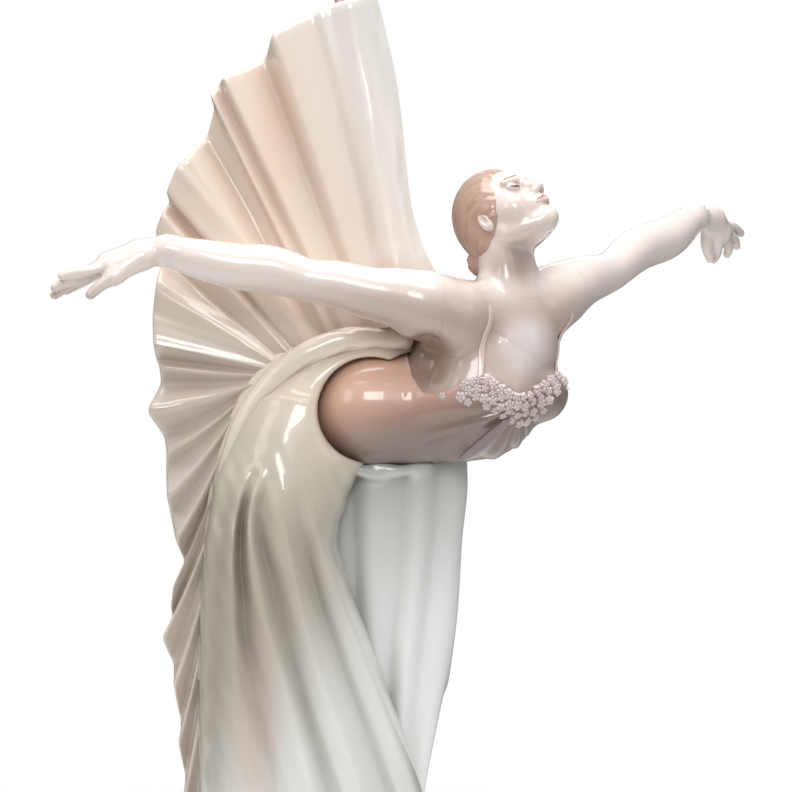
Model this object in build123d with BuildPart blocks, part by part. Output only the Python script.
"""Porcelain dancer in a deep forward arabesque, with one leg raised behind and a pleated skirt.

The figure is modelled as a porcelain works makes it: separate slip castings, trimmed and luted
together before one firing, on a low glazed plinth. Each casting is one named solid.

Frame: millimetres, +Z up, origin at the centre of the plinth's underside. +X is the way the
torso leans, +Y is the way the far arm reaches, so the near arm is on the -Y side.
"""

import os
from math import cos, pi, radians, sin

from build123d import *

# ---------------------------------------------------------------- driving dimensions
TOTAL_HEIGHT = 450.0  # underside of the plinth to the tip of the raised toe
HEAD_HEIGHT = 46.0  # crown to chin, about 1/7.5 of the dancer's stature
CHEST_YAW = radians(40)  # how far the chest is turned from -Y towards +X
WALL = 3.0  # slip-cast wall of the hollow castings
LUTE = 0.15  # gap that the slip fills where a spigot sits in its socket
PEG_ROOT = 3.0  # how far a spigot runs back into its own casting
PEG_LENGTH = 5.0  # how far it stands into its neighbour

PLINTH_LENGTH = 128.0
PLINTH_WIDTH = 108.0
PLINTH_HEIGHT = 12.0
PLINTH_CROWN = 5.0  # radius of the plinth's upper edge
PLINTH_BEVEL = 1.0
FOOT_RING = 7.0  # width of the unglazed ring that the plinth stands on
FOOT_RECESS = 4.0
VENT_RADIUS = 3.0  # lets steam and kiln gas out of the hollow skirt
VENT_PLACE = (-8.0, 6.0)

CHEST_FORWARD = Vector(sin(CHEST_YAW), -cos(CHEST_YAW), 0)
CHEST_LEFT = Vector(cos(CHEST_YAW), sin(CHEST_YAW), 0)
CHEST_CENTRE = Vector(85, -3, 238)
CHEST_HALF_WIDTH = 30.0
CHEST_HALF_DEPTH = 21.0
CHEST_HALF_HEIGHT = 35.0
BUST_RADIUS = 13.0
NECKLINE = 236.0  # height of the bodice's upper edge
SKIN_STEP = 0.8  # how far the bodice's edge stands proud of the chest

SHOULDER_RIGHT = Vector(60, -22, 269)
SHOULDER_LEFT = Vector(113, 24, 275)
NECK_FOOT = Vector(88, 0, 264)
NECK_TOP = Vector(84, 2, 294)
NECK_RADIUS = 11.5

HEAD_CENTRE = Vector(86, 2, 310)
HEAD_UP = Vector(-0.628, 0.440, 0.643)  # towards the crown
HEAD_FACE = Vector(0.526, -0.369, 0.766)  # the way the face looks
SKULL_HALF_WIDTH = 0.36 * HEAD_HEIGHT
SKULL_HALF_DEPTH = 0.43 * HEAD_HEIGHT
SKULL_HALF_HEIGHT = 0.47 * HEAD_HEIGHT
HAIR_THICKNESS = 1.4
BUN_RADIUS = 8.0

SHEET = 4.0  # thickness of the pleated skirt's castings
FLOWER_COUNT = 9
PETALS = 5
PETAL_RADIUS = 1.7
PETAL_THICKNESS = 1.3
BEAD_RADIUS = 1.1
STRAP_RADIUS = 2.2


# ---------------------------------------------------------------- helpers
def oval(centre, along, half_width, half_height):
    """A filled ellipse at centre, square to the direction along, wide across the horizontal."""
    along = Vector(*along).normalized()
    level = along.cross(Vector(0, 0, 1))
    across = level.normalized() if level.length > 0.2 else Vector(0, 1, 0)
    with BuildSketch(Plane(origin=Vector(*centre), x_dir=across, z_dir=along)) as sketch:
        Ellipse(half_width, half_height)
    return sketch.sketch.face()


def limb(stations, inset=0.0):
    """Ovals along a limb. A station is (x, y, z, half width, half height), from end to end."""
    points = [Vector(*station[:3]) for station in stations]
    sections = []
    for index, station in enumerate(stations):
        before = points[max(index - 1, 0)]
        after = points[min(index + 1, len(points) - 1)]
        sections.append(oval(points[index], after - before, station[3] - inset, station[4] - inset))
    return sections


def level_ovals(stations, inset=0.0):
    """Horizontal ovals for a skirt. A station is (x, y, z, half length in X, half width in Y)."""
    sections = []
    for x, y, z, half_x, half_y in stations:
        with BuildSketch(Plane((x, y, z))) as sketch:
            Ellipse(half_x - inset, half_y - inset)
        sections.append(sketch.sketch.face())
    return sections


def ellipsoid(centre, half_sizes, across=(1, 0, 0), upward=(0, 0, 1)):
    """A loose ellipsoid: half sizes run along across, the third axis and upward."""
    ball = scale(Sphere(1.0, mode=Mode.PRIVATE), by=half_sizes, mode=Mode.PRIVATE)
    place = Plane(origin=Vector(*centre), x_dir=Vector(*across), z_dir=Vector(*upward))
    return place.location * ball


def fluted_ring(x, y, z, half_x, half_y, flutes, depth, turn):
    """A closed outline whose folds stand out by depth and are turned round the skirt by turn."""
    steps = 6 * flutes
    points = []
    for step in range(steps):
        angle = 2 * pi * step / steps
        swell = 1 + depth * cos(flutes * (angle - turn))
        points.append((half_x * swell * cos(angle), half_y * swell * sin(angle)))
    with BuildSketch(Plane((x, y, z))) as sketch:
        with BuildLine():
            Spline(*points, periodic=True)
        make_face()
    return sketch.sketch.face()


def pleat_edge(inner, outer, inner_depth, outer_depth, thickness=SHEET):
    """The upright slice of a pleated sheet along one crease, from its root out to its hem."""
    (xi, zi), (xo, zo) = inner, outer
    half = thickness / 2
    corners = [
        (xi, inner_depth - half, zi),
        (xi, inner_depth + half, zi),
        (xo, outer_depth + half, zo),
        (xo, outer_depth - half, zo),
    ]
    return Face(Wire.make_polygon(corners, close=True))


def peg(seam, inward, radius, gap=0.0):
    """A spigot that starts PEG_ROOT outside a seam and runs inward past it, as a loose solid.

    With the luting gap it is the socket that the spigot sits in.
    """
    inward = Vector(*inward).normalized()
    rod = Cylinder(radius + gap, PEG_ROOT + PEG_LENGTH + gap, mode=Mode.PRIVATE,
                   align=(Align.CENTER, Align.CENTER, Align.MIN))
    return Plane(origin=Vector(*seam) - inward * PEG_ROOT, z_dir=inward).location * rod


def digit(start, end, root_radius, tip_radius):
    """One finger or thumb: a tapered rod with a round tip, as a loose solid."""
    start, end = Vector(*start), Vector(*end)
    along = end - start
    rod = Cone(root_radius, tip_radius, along.length, mode=Mode.PRIVATE,
               align=(Align.CENTER, Align.CENTER, Align.MIN))
    tip = Pos(0, 0, along.length) * Sphere(tip_radius, mode=Mode.PRIVATE)
    return Plane(origin=start, z_dir=along).location * (rod + tip)


def chest_point(side, forward, up):
    """A point on the turned chest, in millimetres to its left, to its front and up."""
    return CHEST_CENTRE + CHEST_LEFT * side + CHEST_FORWARD * forward + Vector(0, 0, up)


def on_bust(angle):
    """A point just above the bust's surface along the neckline, and the way out from it."""
    side = (CHEST_HALF_WIDTH - 4) * sin(angle)
    forward = CHEST_HALF_DEPTH * cos(angle) + 0.55 * BUST_RADIUS
    outward = CHEST_LEFT * sin(angle) + CHEST_FORWARD * cos(angle)
    dip = -5.0 * cos(angle) ** 4
    return chest_point(side, forward, dip - 4.0) + outward * 2.2, outward


# ---------------------------------------------------------------- luted joints
# Each is the middle of the seam, the way the spigot points, and the spigot's radius.
NECK_JOINT = ((87.5, 0.2, 276), (0.2, 0, -1), 6.0)
HEAD_JOINT = ((84.5, 1.8, 294), (0.2, 0, -1), 4.5)
RIGHT_ARM_JOINT = ((60, -22, 268), (0.85, 0.35, -0.3), 5.0)
LEFT_ARM_JOINT = ((111, 22, 273), (-0.5, -0.8, -0.3), 5.0)
RIGHT_WRIST_JOINT = ((-60, -31, 296), (1, 0, -0.25), 2.2)
LEFT_WRIST_JOINT = ((181, 122, 319), (-0.55, -0.8, -0.25), 2.2)
RAISED_FOOT_JOINT = ((18, 8, 401), (0.1, 0, -1), 4.0)


# ---------------------------------------------------------------- plinth
with BuildPart() as base_plinth:
    with BuildSketch():
        Ellipse(PLINTH_LENGTH / 2, PLINTH_WIDTH / 2)
    extrude(amount=PLINTH_HEIGHT)
    fillet(base_plinth.edges().group_by(Axis.Z)[-1], PLINTH_CROWN)
    chamfer(base_plinth.edges().group_by(Axis.Z)[0], PLINTH_BEVEL)
    with BuildSketch():
        Ellipse(PLINTH_LENGTH / 2 - FOOT_RING, PLINTH_WIDTH / 2 - FOOT_RING)
    extrude(amount=FOOT_RECESS, mode=Mode.SUBTRACT)
    with Locations((*VENT_PLACE, PLINTH_HEIGHT)):
        Hole(VENT_RADIUS)

# ---------------------------------------------------------------- torso castings
chest_form = ellipsoid(
    CHEST_CENTRE, (CHEST_HALF_WIDTH, CHEST_HALF_DEPTH, CHEST_HALF_HEIGHT), across=CHEST_LEFT
)
SHOULDER_LINE = [
    (*SHOULDER_RIGHT, 9, 10),
    (*chest_point(-18, -3, 30), 12, 11),
    (*chest_point(0, -4, 30), 13, 13),
    (*chest_point(18, -3, 34), 12, 11),
    (*SHOULDER_LEFT, 9, 10),
]
NECK = [(*NECK_FOOT, 14, 14), (86.5, 0.5, 279, 11.8, 11.8), (*NECK_TOP, NECK_RADIUS, NECK_RADIUS)]

with BuildPart() as upper_chest:
    add(chest_form)
    loft(sections=limb(SHOULDER_LINE))
    split(bisect_by=Plane((0, 0, NECKLINE)), keep=Keep.TOP)
    add(ellipsoid(NECK_FOOT, (15, 14, 12)))
    for joint in (NECK_JOINT, RIGHT_ARM_JOINT, LEFT_ARM_JOINT):
        add(peg(*joint, gap=LUTE), mode=Mode.SUBTRACT)

TORSO = [
    (9, 8, 230, 19, 21),
    (22, 7, 230, 25, 28),
    (40, 5, 229, 26, 30),
    (58, 1, 226, 23, 26),
    (72, -2, 226, 22, 24),
    (84, -3, 230, 21, 22),
]
with BuildPart() as bodice:
    add(ellipsoid(CHEST_CENTRE, (CHEST_HALF_WIDTH + SKIN_STEP, CHEST_HALF_DEPTH + SKIN_STEP,
                                 CHEST_HALF_HEIGHT), across=CHEST_LEFT))
    for side in (-1, 1):
        add(ellipsoid(chest_point(side * 12, 15, -8), (BUST_RADIUS,) * 3))
    split(bisect_by=Plane((0, 0, NECKLINE + 4)), keep=Keep.BOTTOM)
    loft(sections=limb(TORSO))
    add(upper_chest.part, mode=Mode.SUBTRACT)
    loft(sections=limb(TORSO[1:5], inset=2 * WALL), mode=Mode.SUBTRACT)

with BuildPart() as neck:
    loft(sections=limb(NECK))
    for blocker in (upper_chest.part, peg(*NECK_JOINT, gap=LUTE), peg(*HEAD_JOINT, gap=LUTE)):
        add(blocker, mode=Mode.SUBTRACT)
    add(peg(*NECK_JOINT))

# ---------------------------------------------------------------- head castings
HEAD_SIDE = HEAD_UP.cross(HEAD_FACE)
skull = ellipsoid(
    HEAD_CENTRE + HEAD_UP * 4,
    (SKULL_HALF_WIDTH, SKULL_HALF_DEPTH, SKULL_HALF_HEIGHT * 0.82),
    across=HEAD_SIDE, upward=HEAD_UP,
)
with BuildPart() as head:
    add(skull)
    add(ellipsoid(HEAD_CENTRE - HEAD_UP * 9 + HEAD_FACE * 6, (12.0, 12.5, 14.0),
                  across=HEAD_SIDE, upward=HEAD_UP))
    add(digit(HEAD_CENTRE + HEAD_FACE * 17 + HEAD_UP * 3,
              HEAD_CENTRE + HEAD_FACE * 20 - HEAD_UP * 5, 1.6, 2.6))
    for blocker in (neck.part, peg(*HEAD_JOINT, gap=LUTE)):
        add(blocker, mode=Mode.SUBTRACT)
    add(ellipsoid(HEAD_CENTRE + HEAD_UP * 4, (SKULL_HALF_WIDTH - 2 * WALL,) * 3),
        mode=Mode.SUBTRACT)
    add(peg(*HEAD_JOINT))

hair_form = ellipsoid(
    HEAD_CENTRE + HEAD_UP * 4.5 - HEAD_FACE,
    (SKULL_HALF_WIDTH + HAIR_THICKNESS, SKULL_HALF_DEPTH + HAIR_THICKNESS,
     SKULL_HALF_HEIGHT * 0.82 + HAIR_THICKNESS),
    across=HEAD_SIDE, upward=HEAD_UP,
)
hairline = Plane(
    origin=HEAD_CENTRE + HEAD_FACE * 3 - HEAD_UP * 2,
    x_dir=HEAD_SIDE, z_dir=HEAD_UP * 0.75 - HEAD_FACE * 0.66,
)
with BuildPart() as hair_cap:
    add(hair_form)
    split(bisect_by=hairline, keep=Keep.TOP)
    add(skull, mode=Mode.SUBTRACT)
    add(head.part, mode=Mode.SUBTRACT)
    add(neck.part, mode=Mode.SUBTRACT)

BUN_CENTRE = HEAD_CENTRE - HEAD_FACE * 20 - HEAD_UP * 5
with BuildPart() as hair_bun:
    add(ellipsoid(BUN_CENTRE, (BUN_RADIUS, BUN_RADIUS, BUN_RADIUS * 0.8),
                  across=HEAD_SIDE, upward=HEAD_FACE))
    for casting in (hair_cap, head, neck, upper_chest):
        add(casting.part, mode=Mode.SUBTRACT)

# ---------------------------------------------------------------- arms and hands
RIGHT_ARM = [  # from the web of the armpit to the wrist
    (67, -18, 261, 13, 19),
    (55, -23, 264, 12, 18),
    (43, -26, 269, 11.2, 15),
    (31, -28, 275, 10.2, 11.5),
    (16, -30, 279, 9.2, 9.4),
    (-4, -31, 283, 8.6, 9),
    (-25, -31, 287, 9, 9.6),
    (-45, -31, 292, 7, 7.8),
    (-60, -31, 296, 6, 5.2),
]
LEFT_ARM = [
    (107, 16, 267, 13, 15),
    (115, 28, 277, 11.5, 12),
    (126, 43, 286, 10, 10.5),
    (138, 61, 296, 9, 9.2),
    (149, 77, 303, 8.8, 9),
    (160, 92, 309, 9, 9.4),
    (172, 109, 315, 7.2, 7.6),
    (181, 122, 319, 5.6, 5.2),
]
with BuildPart() as right_arm:
    loft(sections=limb(RIGHT_ARM))
    for blocker in (upper_chest.part, bodice.part, peg(*RIGHT_ARM_JOINT, gap=LUTE),
                    peg(*RIGHT_WRIST_JOINT, gap=LUTE)):
        add(blocker, mode=Mode.SUBTRACT)
    add(peg(*RIGHT_ARM_JOINT))

with BuildPart() as left_arm:
    loft(sections=limb(LEFT_ARM))
    for blocker in (upper_chest.part, bodice.part, peg(*LEFT_ARM_JOINT, gap=LUTE),
                    peg(*LEFT_WRIST_JOINT, gap=LUTE)):
        add(blocker, mode=Mode.SUBTRACT)
    add(peg(*LEFT_ARM_JOINT))


def hand(wrist, knuckles, tips, thumb_root, thumb_tip, spread):
    """A palm from wrist to knuckles, with four fingers to tips and a thumb, as one loose solid."""
    palm = loft(sections=[
        oval(wrist, knuckles - wrist, 5.0, 4.6),
        oval((wrist + knuckles) * 0.5, knuckles - wrist, 7.6, 4.2),
        oval(knuckles, knuckles - wrist, 8.2, 3.2),
    ], mode=Mode.PRIVATE)
    solid = palm + digit(thumb_root, thumb_tip, 3.2, 2.0)
    for finger, reach in enumerate((0.95, 1.0, 0.92, 0.78)):
        offset = spread * (finger - 1.5)
        root = knuckles + offset
        solid += digit(root, root + (tips - knuckles) * reach + offset * 0.35, 2.3, 1.5)
    return solid


with BuildPart() as right_hand:
    add(hand(Vector(-60, -31, 296), Vector(-84, -31, 288), Vector(-108, -32, 276),
             Vector(-74, -36, 286), Vector(-89, -40, 275), Vector(0.8, 3.2, 1.6)))
    for blocker in (right_arm.part, peg(*RIGHT_WRIST_JOINT, gap=LUTE)):
        add(blocker, mode=Mode.SUBTRACT)
    add(peg(*RIGHT_WRIST_JOINT))

with BuildPart() as left_hand:
    add(hand(Vector(181, 122, 319), Vector(191, 137, 312), Vector(202, 152, 305),
             Vector(185, 127, 314), Vector(186, 130, 297), Vector(2.2, -2.4, 1.2)))
    for blocker in (left_arm.part, peg(*LEFT_WRIST_JOINT, gap=LUTE)):
        add(blocker, mode=Mode.SUBTRACT)
    add(peg(*LEFT_WRIST_JOINT))

# ---------------------------------------------------------------- pleated skirt
SKIRT_FRONT = [  # x, y, z, half length, half width, fold depth, turn of the folds
    (0, -2, PLINTH_HEIGHT, 47, 40, 0.055, 1.7),
    (-2, -2, 60, 45, 37, 0.06, 1.35),
    (-9, -2, 130, 41, 33, 0.06, 0.95),
    (-13, -1, 190, 33, 29, 0.045, 0.6),
    (-9, 1, 225, 27, 26, 0.02, 0.35),
    (-2, 3, 250, 18, 19, 0.01, 0.2),
]
FLUTES = 9
with BuildPart() as skirt_front:
    loft(sections=[fluted_ring(x, y, z, a, b, FLUTES, depth, turn)
                   for x, y, z, a, b, depth, turn in SKIRT_FRONT])
    loft(sections=level_ovals([(x, y, z, a * (1 - depth), b * (1 - depth))
                               for x, y, z, a, b, depth, turn in SKIRT_FRONT[:5]], inset=WALL),
         mode=Mode.SUBTRACT)
    add(bodice.part, mode=Mode.SUBTRACT)

SKIRT_FAR = [
    (18, 16, PLINTH_HEIGHT, 27, 22),
    (22, 15, 60, 31, 20),
    (27, 14, 130, 37, 18),
    (32, 13, 180, 37, 17),
    (33, 12, 204, 35, 16),
]
with BuildPart() as skirt_far_panel:
    loft(sections=level_ovals(SKIRT_FAR))
    loft(sections=level_ovals(SKIRT_FAR, inset=WALL), mode=Mode.SUBTRACT)
    skirt_outer = loft(sections=level_ovals([ring[:5] for ring in SKIRT_FRONT]), mode=Mode.PRIVATE)
    for blocker in (bodice.part, skirt_front.part, skirt_outer):
        add(blocker, mode=Mode.SUBTRACT)

RAISED_LEG = [  # the draped leg, from the hip to the ankle
    (44, 14, 238, 19, 22),
    (43, 13, 262, 18, 20),
    (40, 12, 286, 16.5, 17),
    (32, 12, 320, 14, 14),
    (27, 11, 352, 13, 13),
    (22, 9, 380, 10.5, 11),
    (18, 8, 400, 9.0, 9.4),
]
FAN_EDGES = [  # root (x, z), hem (x, z), depth of root, depth of hem
    ((36, 262), (23, 402), 9, 8),
    ((18, 257), (10, 399), 6, 9),
    ((13, 256), (-5, 389), 1, -7),
    ((8, 256), (-18, 378), 0, -11),
    ((4, 255), (-22, 371), 4, 5),
    ((1, 255), (-35, 367), -3, -8),
    ((-3, 254), (-42, 360), -4, -12),
    ((-6, 253), (-43, 346), 2, 4),
    ((-9, 252), (-57, 328), -4, -11),
    ((-12, 250), (-61, 313), 2, 3),
    ((-15, 248), (-66, 296), -4, -11),
    ((-17, 246), (-66, 276), 1, 2),
]
with BuildPart() as skirt_fan:
    loft(sections=[pleat_edge(*edge) for edge in FAN_EDGES], ruled=True)
    loft(sections=limb(RAISED_LEG))
    for casting in (bodice, skirt_front, right_arm, upper_chest):
        add(casting.part, mode=Mode.SUBTRACT)
    add(peg(*RAISED_FOOT_JOINT, gap=LUTE), mode=Mode.SUBTRACT)

TRAIN_EDGES = [
    ((-17, 246), (-66, 276), 1, 2),
    ((-18, 242), (-67, 252), -5, -10),
    ((-20, 238), (-63, 240), 0, 2),
    ((-22, 232), (-69, 225), -6, -12),
    ((-25, 224), (-60, 208), 0, 2),
    ((-28, 215), (-61, 190), -6, -12),
    ((-32, 202), (-60, 165), -2, 1),
    ((-35, 186), (-63, 135), -7, -13),
    ((-36, 160), (-57, 100), -3, 1),
    ((-37, 130), (-53, 70), -8, -13),
    ((-34, 90), (-49, 40), -4, 0),
    ((-30, 60), (-46, PLINTH_HEIGHT), -8, -12),
]
with BuildPart() as skirt_train:
    loft(sections=[pleat_edge(*edge) for edge in TRAIN_EDGES], ruled=True)
    for casting in (skirt_front, skirt_fan, base_plinth, right_arm):
        add(casting.part, mode=Mode.SUBTRACT)

HIP_WRAP = [
    (40, 4, 262, 9, 5),
    (14, -9, 259, 10, 7),
    (-14, -17, 246, 9, 8),
    (-32, -19, 220, 8, 8),
    (-43, -17, 185, 7, 6),
    (-50, -13, 145, 5, 4),
    (-53, -10, 105, 3, 2.5),
]
with BuildPart() as skirt_hip_wrap:
    loft(sections=limb(HIP_WRAP))
    for casting in (bodice, skirt_front, skirt_fan, skirt_train, right_arm):
        add(casting.part, mode=Mode.SUBTRACT)

# ---------------------------------------------------------------- slippers
RAISED_FOOT = [
    (18, 8, 396, 7.5, 8.0),
    (17, 8, 408, 8.0, 9.5),
    (15, 8, 420, 7.5, 9.0),
    (17, 8, 433, 6.5, 6.5),
    (22, 8, 443, 5.0, 4.5),
]
TOE_TIP_RADIUS = 4.0
with BuildPart() as raised_slipper:
    loft(sections=limb(RAISED_FOOT))
    add(ellipsoid((23.5, 8, TOTAL_HEIGHT - TOE_TIP_RADIUS - 2), (5.0, 5.0, TOE_TIP_RADIUS + 2)))
    for blocker in (skirt_fan.part, peg(*RAISED_FOOT_JOINT, gap=LUTE)):
        add(blocker, mode=Mode.SUBTRACT)
    add(peg(*RAISED_FOOT_JOINT))

STANDING_FOOT = [  # from the toe back under the hem
    (22, -45, PLINTH_HEIGHT + 3.0, 4.0, 3.0),
    (20, -40, PLINTH_HEIGHT + 4.5, 5.5, 4.5),
    (18, -32, PLINTH_HEIGHT + 6.0, 6.5, 6.0),
    (15, -22, PLINTH_HEIGHT + 8.0, 7.0, 7.5),
]
with BuildPart() as standing_slipper:
    loft(sections=limb(STANDING_FOOT))
    for casting in (skirt_front, base_plinth):
        add(casting.part, mode=Mode.SUBTRACT)

# ---------------------------------------------------------------- straps, ribbon and flowers
def strap(side, crest):
    """A shoulder strap over the shoulder at height crest, from bust to back, as a loose solid."""
    path = [chest_point(side * 15, 20, -2), chest_point(side * 17, 15, 20),
            chest_point(side * 16, 1, crest), chest_point(side * 14, -18, crest - 11),
            chest_point(side * 12, -20, 8)]
    line = Spline(*path, mode=Mode.PRIVATE)
    with BuildSketch(Plane(origin=path[0], z_dir=line % 0)) as section:
        Circle(STRAP_RADIUS)
    return sweep(section.sketch, path=line, mode=Mode.PRIVATE)


with BuildPart() as right_strap:
    add(strap(-1, 43))
    for casting in (upper_chest, bodice, right_arm, neck, skirt_fan):
        add(casting.part, mode=Mode.SUBTRACT)

with BuildPart() as left_strap:
    add(strap(1, 49))
    for casting in (upper_chest, bodice, left_arm, neck):
        add(casting.part, mode=Mode.SUBTRACT)

RIBBON = [
    (97, -16, 214, 2.2, 1.6),
    (90, -22, 212, 2.0, 1.4),
    (82, -25, 207, 1.8, 1.2),
    (74, -24, 202, 1.5, 1.0),
]
with BuildPart() as bodice_ribbon:
    loft(sections=limb(RIBBON))
    for casting in (bodice, upper_chest):
        add(casting.part, mode=Mode.SUBTRACT)

with BuildPart() as bodice_flowers:
    for index in range(FLOWER_COUNT):
        place, outward = on_bust(radians(-62 + 124 * index / (FLOWER_COUNT - 1)))
        with BuildSketch(Plane(origin=place, z_dir=outward)):
            Circle(PETAL_RADIUS)
            with PolarLocations(1.25 * PETAL_RADIUS, PETALS):
                Circle(0.9 * PETAL_RADIUS)
        extrude(amount=PETAL_THICKNESS)
    for casting in (bodice, upper_chest, right_strap, left_strap, right_arm, left_arm):
        add(casting.part, mode=Mode.SUBTRACT)

with BuildPart() as bodice_beads:
    for index in range(FLOWER_COUNT - 1):
        place, outward = on_bust(radians(-54 + 108 * index / (FLOWER_COUNT - 2)))
        with Locations(place - Vector(0, 0, 5.2)):
            Sphere(BEAD_RADIUS)
    for casting in (bodice, bodice_flowers, bodice_ribbon):
        add(casting.part, mode=Mode.SUBTRACT)

# ---------------------------------------------------------------- write each casting
CASTINGS = {
    "base_plinth": base_plinth,
    "standing_slipper": standing_slipper,
    "skirt_front": skirt_front,
    "skirt_far_panel": skirt_far_panel,
    "skirt_train": skirt_train,
    "skirt_fan": skirt_fan,
    "skirt_hip_wrap": skirt_hip_wrap,
    "raised_slipper": raised_slipper,
    "bodice": bodice,
    "bodice_ribbon": bodice_ribbon,
    "bodice_flowers": bodice_flowers,
    "bodice_beads": bodice_beads,
    "right_strap": right_strap,
    "left_strap": left_strap,
    "upper_chest": upper_chest,
    "neck": neck,
    "head": head,
    "hair_cap": hair_cap,
    "hair_bun": hair_bun,
    "right_arm": right_arm,
    "right_hand": right_hand,
    "left_arm": left_arm,
    "left_hand": left_hand,
}
GROUPS = ("bodice_flowers", "bodice_beads")  # sets of small pieces pressed on one by one
os.makedirs("parts", exist_ok=True)
for name, casting in CASTINGS.items():
    solids = casting.part.solids().sort_by(SortBy.VOLUME)
    # Trimming a casting to its neighbours can cut off a sliver, which the finisher sponges away.
    piece = Compound(children=list(solids)) if name in GROUPS else solids[-1]
    piece.label = name
    export_step(piece, f"parts/{name}.step")
